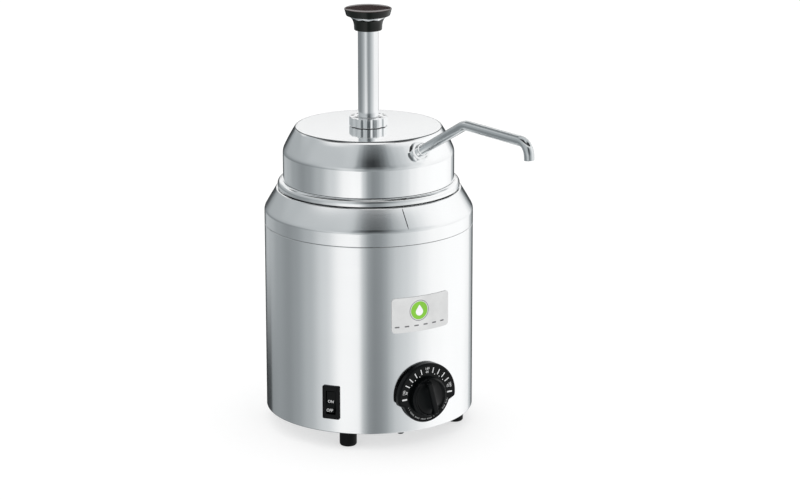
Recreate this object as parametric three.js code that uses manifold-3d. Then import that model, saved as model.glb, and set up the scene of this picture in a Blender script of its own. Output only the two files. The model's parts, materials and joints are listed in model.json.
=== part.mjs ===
// A heated countertop dispenser for warm cheese sauce: a round stainless warmer with a water vessel,
// a drop-in food jar, and a lift-off lid that carries a spring-return plunger pump and a bent spout.
// Millimetres, +Z up. The front, with the badge, dial and spout, faces -Y. The warmer's own axis is
// vertical; the whole assembly is shifted along +Y so that its box is centred on the origin.
// Heights are written from a level 2 mm above the counter, and the assembly is raised by that much.
import * as THREE from "three";
import { mergeVertices } from "three/addons/utils/BufferGeometryUtils.js";
import Module from "manifold-3d";

const wasm = await Module();
wasm.setup();

// ---------------------------------------------------------------- driving dimensions
const SHEET = 1.0; // stainless sheet
const GAP = 0.3; // clearance between neighbouring pieces
const BODY_R = 108.75; // outside of the round warmer
const COUNTER_Z = -2; // what the feet stand on
const SHELL_LOW_Z = 15.8; // underside of the shell
const SEAM_Z = 214.5; // where the shoulder collar meets the shell
const COLLAR_KINK_Z = 230.4; // end of the collar's straight skirt
const COLLAR_TOP_R = 96.2;
const COLLAR_TOP_Z = 251.8;
const RIM_R = 94.7; // rolled rim of the water vessel
const RIM_LOW_Z = 253.1;
const RIM_TOP_Z = 260.3;
const WELL_R = 84.5; // inside of the water vessel
const WELL_FLOOR_Z = 84.5;
const JAR_R = 79; // inside of the food jar
const JAR_FLOOR_Z = 96;
const JAR_LIP_R = 87.3;
const LID_R = 89;
const LID_LOW_Z = RIM_TOP_Z + GAP;
const LID_SHOULDER_Z = 291.8;
const LID_TOP_R = 75.7;
const LID_TOP_Z = 316.3;
const NUT_R = 19.8;
const NUT_TOP_Z = 326;
const STEM_R = 10.6;
const KNOB_R = 24.5;
const KNOB_LOW_Z = 416.8;
const KNOB_TOP_Z = 439.5;
const BARREL_R = 16; // inside of the pump cylinder
const BARREL_LOW_Z = 130;
const SPOUT_TURN = 3; // degrees from the front towards +X
const SPOUT_RISE = 28.2; // degrees above level where the spout leaves the lid
const SPOUT_R = 5; // outside radius of the spout tube
const DIAL_TURN = 1.35; // degrees from the front towards +X
const DIAL_Z = 53.7;
const DIAL_FACE = 114.5; // distance of the dial's face from the axis
const SWITCH_TURN = -51; // degrees from the front, towards -X
const SWITCH_Z = 48.5;
const GLAND_Z = 40;
const GLAND_REACH = 3; // how far the cord gland stands out at the back

const FINE = 36; // sides of the large turned pieces
const MEDIUM = 24;
const SMALL = 12;

// ---------------------------------------------------------------- small tools
const rad = THREE.MathUtils.degToRad;

// A solid from any closed three.js geometry, turned the right way out.
function solid(geometry) {
  const bare = geometry.index ? geometry.toNonIndexed() : geometry.clone();
  bare.deleteAttribute("normal");
  bare.deleteAttribute("uv");
  const merged = mergeVertices(bare, 1e-4);
  const points = merged.getAttribute("position").array;
  const corner = (i) => new THREE.Vector3().fromArray(points, i * 3);
  const index = merged.index.array;
  const triangles = [];
  let volume = 0;
  for (let i = 0; i < index.length; i += 3) {
    const [a, b, c] = [index[i], index[i + 1], index[i + 2]];
    if (a === b || b === c || c === a) continue;
    triangles.push([a, b, c]);
    volume += corner(a).dot(corner(b).cross(corner(c)));
  }
  const ordered = volume < 0 ? triangles.map(([a, b, c]) => [a, c, b]) : triangles;
  return new wasm.Manifold(
    new wasm.Mesh({
      numProp: 3,
      vertProperties: new Float32Array(points),
      triVerts: new Uint32Array(ordered.flat()),
    }),
  );
}

function geometryOf(body) {
  const mesh = body.getMesh();
  const geometry = new THREE.BufferGeometry();
  geometry.setAttribute("position", new THREE.BufferAttribute(mesh.vertProperties, 3));
  geometry.setIndex(new THREE.BufferAttribute(mesh.triVerts, 1));
  geometry.computeVertexNormals();
  return geometry;
}

// Rounds the corners of an open line. A point is [x, y] or [x, y, bend radius].
function bent(points, steps = 2) {
  const line = [];
  points.forEach(([x, y, radius], i) => {
    const here = new THREE.Vector2(x, y);
    if (!radius) {
      line.push(here);
      return;
    }
    const back = new THREE.Vector2(...points[i - 1].slice(0, 2)).sub(here).normalize();
    const on = new THREE.Vector2(...points[i + 1].slice(0, 2)).sub(here).normalize();
    const half = Math.acos(THREE.MathUtils.clamp(back.dot(on), -1, 1)) / 2;
    const centre = back.clone().add(on).normalize().multiplyScalar(radius / Math.sin(half)).add(here);
    const first = back.multiplyScalar(radius / Math.tan(half)).add(here).sub(centre);
    const last = on.multiplyScalar(radius / Math.tan(half)).add(here).sub(centre);
    const sweep = Math.atan2(first.cross(last), first.dot(last));
    for (let k = 0; k <= steps; k++) {
      const angle = (sweep * k) / steps;
      line.push(first.clone().rotateAround(new THREE.Vector2(), angle).add(centre));
    }
  });
  return line;
}

// Closes a line into a sheet outline: the given line is its right-hand side.
function thickened(line, thickness = SHEET) {
  const other = line.map((point, i) => {
    const before = point.clone().sub(line[Math.max(i - 1, 0)]).normalize();
    const after = line[Math.min(i + 1, line.length - 1)].clone().sub(point).normalize();
    if (i === 0) before.copy(after);
    if (i === line.length - 1) after.copy(before);
    const normal = new THREE.Vector2(-before.y - after.y, before.x + after.x).normalize();
    const reach = thickness / normal.dot(new THREE.Vector2(-before.y, before.x));
    return point.clone().addScaledVector(normal, reach);
  });
  return [...line, ...other.reverse()];
}

// Turns a closed [radius, height] outline about Z.
function turned(outline, sides = MEDIUM) {
  const profile = outline.map((p) => (p.isVector2 ? p : new THREE.Vector2(...p)));
  return solid(new THREE.LatheGeometry([...profile, profile[0]], sides).rotateX(Math.PI / 2));
}

const ring = (inner, outer, low, high, sides = MEDIUM) =>
  turned([[inner, low], [outer, low], [outer, high], [inner, high]], sides);

function rod(radius, low, high, sides = SMALL) {
  const shape = new THREE.CylinderGeometry(radius, radius, high - low, sides);
  return solid(shape.rotateX(Math.PI / 2).translate(0, 0, (low + high) / 2));
}

function block(width, depth, height, x = 0, y = 0, z = 0) {
  return solid(new THREE.BoxGeometry(width, depth, height).translate(x, y, z));
}

function extruded(shape, depth, low = 0, curveSegments = 2) {
  const options = { depth, bevelEnabled: false, curveSegments };
  return solid(new THREE.ExtrudeGeometry(shape, options).translate(0, 0, low));
}

function roundedRectangle(width, height, radius) {
  const [x, y] = [width / 2, height / 2];
  const shape = new THREE.Shape();
  shape.moveTo(x, y - radius);
  shape.absarc(x - radius, y - radius, radius, 0, Math.PI / 2);
  shape.absarc(radius - x, y - radius, radius, Math.PI / 2, Math.PI);
  shape.absarc(radius - x, radius - y, radius, Math.PI, 1.5 * Math.PI);
  shape.absarc(x - radius, radius - y, radius, 1.5 * Math.PI, 2 * Math.PI);
  return shape;
}

function hexagon(radius) {
  const corners = [0, 1, 2, 3, 4, 5].map((k) => rad(60 * k));
  return new THREE.Shape(corners.map((a) => new THREE.Vector2(radius * Math.cos(a), radius * Math.sin(a))));
}

// A tube or rod along a curve.
function piped(curve, outer, inner, sides, steps) {
  const section = new THREE.Shape().absarc(0, 0, outer, 0, 2 * Math.PI);
  if (inner > 0) section.holes.push(new THREE.Path().absarc(0, 0, inner, 0, 2 * Math.PI, true));
  const options = { steps, extrudePath: curve, curveSegments: sides / 2 }; // an arc gets twice as many
  return solid(new THREE.ExtrudeGeometry(section, options));
}

// A path of short straight runs: a 2-D line of distance and height, laid in the plane of the spout.
function spoutPath(line) {
  const points = line.map((p) => new THREE.Vector3(0, -p.x, p.y));
  const path = new THREE.CurvePath();
  for (let i = 1; i < points.length; i++) path.add(new THREE.LineCurve3(points[i - 1], points[i]));
  return path;
}

class Helix extends THREE.Curve {
  constructor(radius, low, high, turns) {
    super();
    Object.assign(this, { radius, low, high, turns });
  }

  getPoint(t, target = new THREE.Vector3()) {
    const angle = 2 * Math.PI * this.turns * t;
    const height = this.low + (this.high - this.low) * t;
    return target.set(this.radius * Math.cos(angle), this.radius * Math.sin(angle), height);
  }
}

// ---------------------------------------------------------------- scene graph
const dispenser = new THREE.Group();
const finishes = {
  stainless: { color: 0xd4d6d8, roughness: 0.28, metalness: 1 },
  polished: { color: 0xe0e2e4, roughness: 0.1, metalness: 1 },
  dullSteel: { color: 0xa9acae, roughness: 0.4, metalness: 1 },
  blackPlastic: { color: 0x0d0e10, roughness: 0.3, metalness: 0 },
  brownPlastic: { color: 0x221714, roughness: 0.15, metalness: 0 },
  badge: { color: 0xd9dcde, roughness: 0.45, metalness: 0.2 },
  rubber: { color: 0x131415, roughness: 0.8, metalness: 0 },
  whitePlastic: { color: 0xe8e6e0, roughness: 0.5, metalness: 0 },
  brass: { color: 0xb89450, roughness: 0.35, metalness: 1 },
  zinc: { color: 0xb9bcc0, roughness: 0.45, metalness: 1 },
};

function add(group, name, body, finish) {
  const mesh = new THREE.Mesh(geometryOf(body), new THREE.MeshStandardMaterial(finishes[finish]));
  mesh.name = name;
  group.add(mesh);
}

function place(group, x = 0, y = 0, z = 0) {
  const holder = new THREE.Group();
  holder.position.set(x, y, z);
  group.add(holder);
  return holder;
}

// Puts +X along the wall, +Y up and +Z straight out of the wall, measured from the axis.
function facing(turn, height) {
  const out = new THREE.Vector3(Math.sin(rad(turn)), -Math.cos(rad(turn)), 0);
  const up = new THREE.Vector3(0, 0, 1);
  const along = new THREE.Vector3().crossVectors(up, out);
  return new THREE.Matrix4().makeBasis(along, up, out).setPosition(0, 0, height);
}

function facingGroup(group, turn, height) {
  const holder = new THREE.Group();
  facing(turn, height).decompose(holder.position, holder.quaternion, holder.scale);
  group.add(holder);
  return holder;
}

const moved = (body, matrix) => body.transform(matrix.elements);

// ---------------------------------------------------------------- spout line, in its own plane
// Distances along s are measured outwards from where the spout's axis crosses the lid's cone.
const OUTLET_AT = new THREE.Vector2(84.1, 301.1);
const outward = new THREE.Vector2(Math.cos(rad(SPOUT_RISE)), Math.sin(rad(SPOUT_RISE)));
const alongOutlet = (s) => OUTLET_AT.clone().addScaledVector(outward, s);
const SPOUT_BEND = [174.0, 349.4, 22];
const SPOUT_CORNER = [279.8, 351.8, 13];
const SPOUT_TIP = [281.3, 335.1];
const SPOUT_REACH = (SPOUT_TIP[0] + SPOUT_R) * Math.cos(rad(SPOUT_TURN));

const assembly = place(dispenser, 0, (SPOUT_REACH - BODY_R - GLAND_REACH) / 2, -COUNTER_Z);
const spoutPlane = place(assembly);
spoutPlane.rotation.z = rad(SPOUT_TURN);

// ---------------------------------------------------------------- warmer: shell and collar
const LIP_R = 101; // inner edge of the shell's turned-in bottom lip
const plateZ = SHELL_LOW_Z + SHEET + GAP; // underside of the base plate
const PLATE = 1.2;
const BASE_SCREW_R = 103.5;
const BASE_SCREW_TURNS = [-12, 108, 228];
const FOOT_CIRCLE_R = 91; // the circle that the feet stand on
const FOOT_R = 8.9;
const FOOT_TURNS = { front_left: -44, front_right: 53, back_right: 136, back_left: -127 };

// The x and y of a point at that radius, turned by that many degrees from the front.
const around = (radius, turn) => [radius * Math.sin(rad(turn)), -radius * Math.cos(rad(turn))];

function makeShell() {
  const line = bent([[LIP_R, SHELL_LOW_Z], [BODY_R, SHELL_LOW_Z, 1.2], [BODY_R, SEAM_Z]]);
  const openings = [
    moved(rod(4.5, 95, 120), facing(DIAL_TURN, DIAL_Z)),
    moved(block(13.4, 30.2, 30, 0, 0, 105), facing(SWITCH_TURN, SWITCH_Z)),
    moved(rod(8.3, 95, 120), facing(180, GLAND_Z)),
  ];
  for (const turn of BASE_SCREW_TURNS) {
    const [x, y] = around(BASE_SCREW_R, turn);
    openings.push(rod(2, 10, 18.5, 12).translate([x, y, 0]));
  }
  return openings.reduce((body, cut) => body.subtract(cut), turned(thickened(line), FINE));
}

add(assembly, "outer_shell", makeShell(), "stainless");

const plugR = BODY_R - SHEET - GAP;
const collarLine = bent([
  [plugR, SEAM_Z - 8],
  [plugR, SEAM_Z + GAP],
  [BODY_R, SEAM_Z + GAP],
  [BODY_R, COLLAR_KINK_Z, 9],
  [102.75, 241.6], // the cone is slightly crowned
  [COLLAR_TOP_R, COLLAR_TOP_Z, 1.6],
  [90, COLLAR_TOP_Z],
]);
add(assembly, "shoulder_collar", turned(thickened(collarLine), FINE), "stainless");

// ---------------------------------------------------------------- water vessel and its heater
const vesselLine = bent([
  [RIM_R, RIM_LOW_Z],
  [RIM_R, RIM_TOP_Z, 3],
  [WELL_R, RIM_TOP_Z, 2],
  [WELL_R, WELL_FLOOR_Z, 10],
  [0, WELL_FLOOR_Z],
]);
add(assembly, "water_vessel", turned(thickened(vesselLine), FINE), "stainless");

const VESSEL_UNDER_Z = WELL_FLOOR_Z - SHEET;
const SPREADER_LOW_Z = VESSEL_UNDER_Z - GAP - 3.2;
const spreader = rod(72, SPREADER_LOW_Z, VESSEL_UNDER_Z - GAP, MEDIUM);
add(assembly, "heat_spreader", spreader.add(rod(3, 62, SPREADER_LOW_Z + 1, 12)), "dullSteel");

// The heater is an open ring whose two ends turn down to their terminals at the back.
function elementPath() {
  const [radius, tubeZ, gapTurn, bendR] = [50, SPREADER_LOW_Z - 4.4, 20, 8];
  const points = [];
  const leg = (turn) => {
    const [x, y] = around(radius, turn);
    return new THREE.Vector3(x, y, tubeZ - bendR - 10);
  };
  points.push(leg(180 + gapTurn));
  for (let turn = 180 + gapTurn; turn <= 540 - gapTurn; turn += 16) {
    points.push(new THREE.Vector3(...around(radius, turn), tubeZ));
  }
  points.push(leg(180 - gapTurn));
  return new THREE.CatmullRomCurve3(points, false, "centripetal");
}
add(assembly, "heating_element", piped(elementPath(), 3.6, 0, 8, 36), "dullSteel");

const CLAMP_TOP_Z = SPREADER_LOW_Z - 4.4 - 3.6 - 0.8;
const clamp = block(118, 16, 1.6, 0, 0, CLAMP_TOP_Z - 0.8).subtract(rod(3.3, 50, 90, 12));
add(assembly, "element_clamp", clamp, "zinc");
const clampNut = extruded(hexagon(6.5), 5, CLAMP_TOP_Z - 1.6 - GAP - 5).subtract(rod(3.3, 50, 90, 12));
add(assembly, "clamp_nut", clampNut, "zinc");

const cutout = place(assembly, 0, 28, 0);
add(cutout, "high_limit_cutout", rod(9, 72, SPREADER_LOW_Z - GAP, 20), "whitePlastic");
const bulb = place(assembly, -2, -30, SPREADER_LOW_Z - 3.6);
bulb.rotation.y = Math.PI / 2;
add(bulb, "thermostat_bulb", rod(3, -26, 26, 10), "brass");
const capillary = new THREE.CatmullRomCurve3(
  [[12, -79.6, 60], [14, -68, 62], [20, -54, 65], [27, -42, 66], [29, -34, 70], [27.5, -30.5, 75.5],
    [24.3, -30, 76.4]].map((p) => new THREE.Vector3(...p)),
);
add(assembly, "capillary_tube", piped(capillary, 1.1, 0, 6, 20), "brass");

// ---------------------------------------------------------------- base plate, feet and fasteners
function makeBasePlate() {
  let plate = rod(106.2, plateZ, plateZ + PLATE, FINE);
  for (const turn of Object.values(FOOT_TURNS)) {
    const [x, y] = around(FOOT_CIRCLE_R, turn);
    plate = plate.subtract(rod(2.5, 10, 30, 12).translate([x, y, 0]));
  }
  for (const turn of BASE_SCREW_TURNS) {
    const [x, y] = around(BASE_SCREW_R, turn);
    plate = plate.subtract(rod(2, 10, 30, 12).translate([x, y, 0]));
  }
  return plate;
}
add(assembly, "base_plate", makeBasePlate(), "zinc");

const footLine = bent([
  [0, COUNTER_Z],
  [FOOT_R, COUNTER_Z, 2.6],
  [FOOT_R, plateZ - GAP],
  [2.5, plateZ - GAP],
  [2.5, 8],
  [0, 8],
], 3);
const screwLine = [[0, -7.5], [2.1, -7.5], [2.1, GAP], [4.5, GAP], [4.2, 2.2], [0, 3]];
for (const [where, turn] of Object.entries(FOOT_TURNS)) {
  const [x, y] = around(FOOT_CIRCLE_R, turn);
  const spot = place(assembly, x, y, 0);
  add(spot, `foot_${where}`, turned(footLine, 20), "rubber");
  add(place(spot, 0, 0, plateZ + PLATE), `foot_screw_${where}`, turned(screwLine, 12), "zinc");
}
BASE_SCREW_TURNS.forEach((turn, i) => {
  const [x, y] = around(BASE_SCREW_R, turn);
  const spot = place(assembly, x, y, SHELL_LOW_Z);
  spot.rotation.x = Math.PI;
  const line = [[0, -4.5], [1.7, -4.5], [1.7, GAP], [3.4, GAP], [3.1, 1.9], [0, 2.6]];
  add(spot, `base_screw_${i + 1}`, turned(line, 12), "zinc");
});

const WALL = BODY_R + GAP; // where pieces sit against the shell
const terminals = [-10, 0, 10].reduce(
  (body, x) => body.subtract(block(6, 20, 5, x, 78, 33)),
  block(34, 16, 14, 0, 78, plateZ + PLATE + GAP + 7),
);
add(assembly, "terminal_block", terminals, "whitePlastic");

const gland = facingGroup(assembly, 180, GLAND_Z);
const glandBody = ring(4.5, 8, 100, WALL + 1, 24).add(ring(4.5, 13, WALL, BODY_R + GLAND_REACH, 24));
add(gland, "cord_gland", glandBody, "blackPlastic");
const glandNut = extruded(hexagon(12), 4, 102.4).subtract(rod(8.3, 90, 120, 24));
add(gland, "gland_nut", glandNut, "blackPlastic");

// ---------------------------------------------------------------- badge plate
const BADGE_HALF_TURN = 17.9;
const BADGE_LOW_Z = 123;
const BADGE_TOP_Z = 160;
const badgeWidth = 2 * WALL * Math.sin(rad(BADGE_HALF_TURN));
const badgeFace = extruded(roundedRectangle(badgeWidth, BADGE_TOP_Z - BADGE_LOW_Z, 4), 40, 80);
const badgeSkin = ring(WALL, WALL + 0.6, 100, 180, 96);
add(
  assembly,
  "badge_plate",
  badgeSkin.intersect(moved(badgeFace, facing(0, (BADGE_LOW_Z + BADGE_TOP_Z) / 2))),
  "badge",
);

// ---------------------------------------------------------------- thermostat, behind and in front
const DIAL_R = 34.6;
const DIAL_LOW_R = 28.4; // below the two rounded steps
const dial = facingGroup(assembly, DIAL_TURN, DIAL_Z);

function dialOutline() {
  const shape = new THREE.Shape();
  shape.absarc(0, 0, DIAL_R, rad(-7), rad(187), false);
  shape.absarc(0, 0, DIAL_LOW_R, rad(200), rad(340), false);
  shape.holes.push(new THREE.Path().absarc(0, 0, 4.5, 0, 2 * Math.PI, true));
  return shape;
}
add(dial, "dial_plate", extruded(dialOutline(), DIAL_FACE - WALL, WALL, 12), "blackPlastic");
add(dial, "thermostat_body", block(44, 40, 24, 0, 0, 92.6), "whitePlastic");

const KNOB_BASE = DIAL_FACE + GAP;
const KNOB_TURN = 14; // degrees anticlockwise from upright
const knob = place(dial);
knob.rotation.z = rad(KNOB_TURN);
const knobSkirt = turned(
  [[0, KNOB_BASE], [20.3, KNOB_BASE], [20, KNOB_BASE + 5], [17.8, KNOB_BASE + 6.6], [0, KNOB_BASE + 7.2]],
);
const gripBar = block(5.4, 37, 12, 0, 0, KNOB_BASE + 6);
const knobBore = rod(3.3, KNOB_BASE - 5, KNOB_BASE + 6);
add(knob, "thermostat_knob", knobSkirt.add(gripBar).subtract(knobBore), "blackPlastic");
add(knob, "thermostat_spindle", rod(3, 105, KNOB_BASE + 5.7), "zinc");

// ---------------------------------------------------------------- rocker switch
const switchFrame = facingGroup(assembly, SWITCH_TURN, SWITCH_Z);
const BEZEL_FACE = WALL + 2;
const POCKET = { width: 10.3, height: 24.8, floor: 99 };
const housing = extruded(roundedRectangle(18.6, 35.5, 1.5), BEZEL_FACE - WALL, WALL)
  .add(block(12.8, 29.6, WALL + 1 - 88, 0, 0, (88 + WALL + 1) / 2))
  .subtract(block(POCKET.width, POCKET.height, 20, 0, 0, POCKET.floor + 10));
add(switchFrame, "switch_housing", housing, "blackPlastic");

// The rocker's face is a shallow V, tilted here so that its upper end is pressed in.
const ROCKER = { width: 9.6, half: 10.9, centre: 4.6, end: 6.5, tilt: 12 };
const rockerShape = new THREE.Shape(
  bent([
    [ROCKER.half, ROCKER.end],
    [0, ROCKER.centre],
    [-ROCKER.half, ROCKER.end],
    [-ROCKER.half, 1],
    [-4, -3.5],
    [4, -3.5],
    [ROCKER.half, 1],
  ]),
);
const rockerPivot = place(switchFrame, 0, 0, BEZEL_FACE - 5.5);
rockerPivot.rotation.x = rad(-ROCKER.tilt);
const rockerTurn = place(rockerPivot);
const [alongX, alongY, alongZ] = [[1, 0, 0], [0, 1, 0], [0, 0, 1]].map((v) => new THREE.Vector3(...v));
rockerTurn.setRotationFromMatrix(new THREE.Matrix4().makeBasis(alongY, alongZ, alongX));
add(rockerTurn, "switch_rocker", extruded(rockerShape, ROCKER.width, -ROCKER.width / 2), "blackPlastic");

// ---------------------------------------------------------------- food jar
const jarLine = bent([
  [JAR_LIP_R, RIM_TOP_Z + GAP + SHEET],
  [JAR_R, RIM_TOP_Z + GAP + SHEET, 3],
  [JAR_R, JAR_FLOOR_Z, 12],
  [0, JAR_FLOOR_Z],
]);
add(assembly, "food_jar", turned(thickened(jarLine), FINE), "stainless");

// ---------------------------------------------------------------- lid and its fittings
const NECK_R = 14.9; // the cylinder's neck, which passes up through the lid
const lidLine = bent([
  [LID_R, LID_LOW_Z],
  [LID_R, LID_SHOULDER_Z, 8],
  [82.8, 304.2], // the cone is slightly crowned
  [78, 312.8],
  [LID_TOP_R, LID_TOP_Z, 2.4],
  [NECK_R + GAP, LID_TOP_Z],
]);
const outletTurn = new THREE.Matrix4()
  .makeRotationZ(rad(SPOUT_TURN))
  .multiply(new THREE.Matrix4().makeTranslation(0, -OUTLET_AT.x, OUTLET_AT.y))
  .multiply(new THREE.Matrix4().makeRotationX(rad(90 - SPOUT_RISE)));
const SHANK_R = 6.2;
const lid = turned(thickened(lidLine), FINE).subtract(moved(rod(SHANK_R + GAP, -8, 8, 20), outletTurn));
add(assembly, "pump_lid", lid, "polished");

function flutedNut() {
  const nutZ = LID_TOP_Z + GAP;
  const chamfer = 0.9;
  let nut = turned([
    [NECK_R + GAP, nutZ],
    [NUT_R - chamfer, nutZ],
    [NUT_R, nutZ + chamfer],
    [NUT_R, NUT_TOP_Z - chamfer],
    [NUT_R - chamfer, NUT_TOP_Z],
    [12.1, NUT_TOP_Z],
    [12.1, NUT_TOP_Z - 2],
    [NECK_R + GAP, NUT_TOP_Z - 2],
  ]);
  const flutes = 12;
  const [cutterR, depth] = [2.6, 1.2];
  for (let k = 0; k < flutes; k++) {
    const [x, y] = around(NUT_R + cutterR - depth, (360 * (k + 0.5)) / flutes);
    nut = nut.subtract(rod(cutterR, nutZ - 1, NUT_TOP_Z + 1, 12).translate([x, y, 0]));
  }
  return nut;
}
add(assembly, "locking_nut", flutedNut(), "polished");

const NECK_TOP_Z = NUT_TOP_Z - 2 - GAP;
const bushing = turned([
  [STEM_R + GAP, 321],
  [13.6, 321],
  [13.6, NECK_TOP_Z],
  [11.8, NECK_TOP_Z],
  [11.8, NUT_TOP_Z + 0.4],
  [STEM_R + GAP, NUT_TOP_Z + 0.4],
]);
add(assembly, "stem_bushing", bushing, "blackPlastic");

const FLANGE_TOP_Z = LID_TOP_Z - SHEET - GAP;
const cylinder = turned([
  [BARREL_R + 1, BARREL_LOW_Z],
  [BARREL_R + 1, 309],
  [21, 312],
  [21, FLANGE_TOP_Z],
  [NECK_R, FLANGE_TOP_Z],
  [NECK_R, NECK_TOP_Z],
  [13.9, NECK_TOP_Z],
  [13.9, 320.7],
  [11.5, 320.7],
  [11.5, 311],
  [BARREL_R, 308],
  [BARREL_R, BARREL_LOW_Z],
]);
add(assembly, "pump_cylinder", cylinder, "stainless");

// ---------------------------------------------------------------- valve body with two check balls
const VALVE_LOW_Z = 104;
const VALVE_DECK_Z = BARREL_LOW_Z - GAP;
const RISER_AT = 27; // distance of the riser from the pump's axis
const CHEST_LOW_Z = 118;
const CHEST_TOP_Z = 152;

function makeValveBody() {
  const core = turned([
    [4, VALVE_LOW_Z],
    [18, VALVE_LOW_Z],
    [20.5, VALVE_LOW_Z + 2.5],
    [20.5, 140],
    [BARREL_R + 1 + GAP, 140],
    [BARREL_R + 1 + GAP, VALVE_DECK_Z],
    [3.5, VALVE_DECK_Z],
    [3.5, 122],
    [6.3, 122],
    [6.3, 112.3],
    [4, 110],
  ]);
  const chest = rod(7.6, CHEST_LOW_Z, CHEST_TOP_Z, 24).translate([0, -RISER_AT, 0]);
  const web = block(9, 9, 8, 0, -RISER_AT + 6.5, CHEST_LOW_Z + 4);
  const solidPart = chest.subtract(rod(BARREL_R + 3, 100, 160)).add(web).add(core);
  const crossway = block(5, RISER_AT, 4.6, 0, -RISER_AT / 2, 125.7);
  const bores = [
    crossway,
    rod(3.2, 121, 132, 12).translate([0, -RISER_AT, 0]),
    rod(5.3, 131, CHEST_TOP_Z + 1, 20).translate([0, -RISER_AT, 0]),
  ];
  return bores.reduce((body, bore) => body.subtract(bore), solidPart);
}
add(spoutPlane, "valve_body", makeValveBody(), "stainless");
const ball = (radius) => solid(new THREE.SphereGeometry(radius, 12, 8));
add(place(assembly, 0, 0, 113.45), "inlet_check_ball", ball(5), "dullSteel");
add(place(spoutPlane, 0, -RISER_AT, 134), "outlet_check_ball", ball(4.2), "dullSteel");

const riserEnd = alongOutlet(-6.5);
const riserLine = bent([
  [RISER_AT, CHEST_TOP_Z - 8],
  [RISER_AT, OUTLET_AT.y - (OUTLET_AT.x - RISER_AT) * Math.tan(rad(SPOUT_RISE)), 25],
  riserEnd.toArray(),
], 5);
add(spoutPlane, "riser_tube", piped(spoutPath(riserLine), 4.7, 3.7, 8, 18), "dullSteel");

// ---------------------------------------------------------------- outlet through the lid's cone
const outlet = place(spoutPlane, 0, -OUTLET_AT.x, OUTLET_AT.y);
outlet.rotation.x = rad(90 - SPOUT_RISE);
const NUT_END = 14.5; // outer face of the outlet nut, along the outlet
const FERRULE_END = 19.8;
const fitting = turned(
  [
    [5, -14],
    [SHANK_R, -14],
    [SHANK_R, -5.1],
    [8.6, -5.1],
    [8.6, -3.1],
    [SHANK_R, -3.1],
    [SHANK_R, NUT_END],
    [3.7, NUT_END],
    [3.7, -6.2],
    [5, -6.2],
  ],
  24,
);
add(outlet, "outlet_fitting", fitting, "stainless");
add(outlet, "outlet_gasket", ring(SHANK_R + GAP, 8.6, -2.8, -1.6, 24), "whitePlastic");
// A hexagonal nut that narrows towards the cone, with its corners turned down at the outer face.
const OUTLET_NUT = { low: 0.8, lowR: 8.2, highR: 11 };
const nutLength = NUT_END - OUTLET_NUT.low;
const nutBlank = new THREE.CylinderGeometry(OUTLET_NUT.highR, OUTLET_NUT.lowR, nutLength, 6);
const outletNutLine = [
  [0, OUTLET_NUT.low],
  [7.6, OUTLET_NUT.low],
  [10.8, NUT_END - 3],
  [10.8, NUT_END - 1],
  [9.9, NUT_END],
  [0, NUT_END],
];
const outletNut = solid(nutBlank.rotateX(Math.PI / 2).translate(0, 0, (OUTLET_NUT.low + NUT_END) / 2))
  .rotate([0, 0, 25])
  .intersect(turned(outletNutLine))
  .subtract(rod(SHANK_R + GAP, -1, NUT_END + 1, 24));
add(outlet, "outlet_nut", outletNut, "polished");
add(outlet, "spout_ferrule", ring(SPOUT_R + GAP, 7, NUT_END + GAP, FERRULE_END, 24), "polished");

const spoutLine = bent([alongOutlet(NUT_END + GAP).toArray(), SPOUT_BEND, SPOUT_CORNER, SPOUT_TIP], 5);
add(spoutPlane, "spout_tube", piped(spoutPath(spoutLine), SPOUT_R, SPOUT_R - 1, 10, 32), "dullSteel");

// ---------------------------------------------------------------- plunger, from the top down
const TUBE_TOP_Z = 427.7;
const PISTON_TOP_Z = 247;
const neck = turned([
  [0, 430.2],
  [0, 428],
  [STEM_R + GAP, 428],
  [STEM_R + GAP, KNOB_LOW_Z],
  [13.6, KNOB_LOW_Z],
  [14.4, KNOB_LOW_Z + 0.8],
  [14.6, 421.5],
  [15.3, 425.2],
  [16.7, 428.4],
  [18, 430.2],
]);
add(assembly, "knob_neck", neck, "brownPlastic");
const cap = turned(
  bent([
    [0, 430.5],
    [18.4, 430.5],
    [22.6, 432.1],
    [KNOB_R, 438.9, 0.3],
    [20, 439.4],
    [10, KNOB_TOP_Z],
    [0, KNOB_TOP_Z],
  ], 2),
);
add(assembly, "knob_cap", cap, "brownPlastic");
add(assembly, "plunger_tube", ring(STEM_R - 1.2, STEM_R, PISTON_TOP_Z + GAP, TUBE_TOP_Z), "polished");

const piston = turned([[0, 226], [4, 226], [4, 240.3], [15.4, 240.3], [15.4, PISTON_TOP_Z],
  [9.1, PISTON_TOP_Z], [9.1, 257], [0, 257]]);
add(assembly, "piston_head", piston, "whitePlastic");
const seal = turned([[4.3, 234.3], [13.2, 234.3], [15.6, 233.9], [15.7, 238.6], [14.8, 240], [4.3, 240]]);
add(assembly, "piston_seal", seal, "rubber");
add(assembly, "seal_washer", ring(4.3, 14.6, 232.3, 233.6, 24), "zinc");
const pistonNut = extruded(hexagon(7.5), 4.5, 227.5).subtract(rod(4.3, 220, 240));
add(assembly, "piston_nut", pistonNut, "zinc");

const SPRING = { radius: 12.8, wire: 1.1, low: BARREL_LOW_Z + 1.2, high: 230.8, turns: 8 };
const helix = new Helix(SPRING.radius, SPRING.low, SPRING.high, SPRING.turns);
add(assembly, "return_spring", piped(helix, SPRING.wire, 0, 6, SPRING.turns * 10), "dullSteel");

export default dispenser;
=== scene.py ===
"""Looks of the heated cheese-sauce dispenser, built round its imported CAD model.

Shapes are written in millimetres about the warmer's own vertical axis. A turn is an angle about that
axis, in degrees from the front (-Y) towards +X. Heights are written from a level 2 mm above the
counter, as in the CAD model.
"""

import json
import math

import bmesh
import bpy
from mathutils import Matrix, Vector

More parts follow.
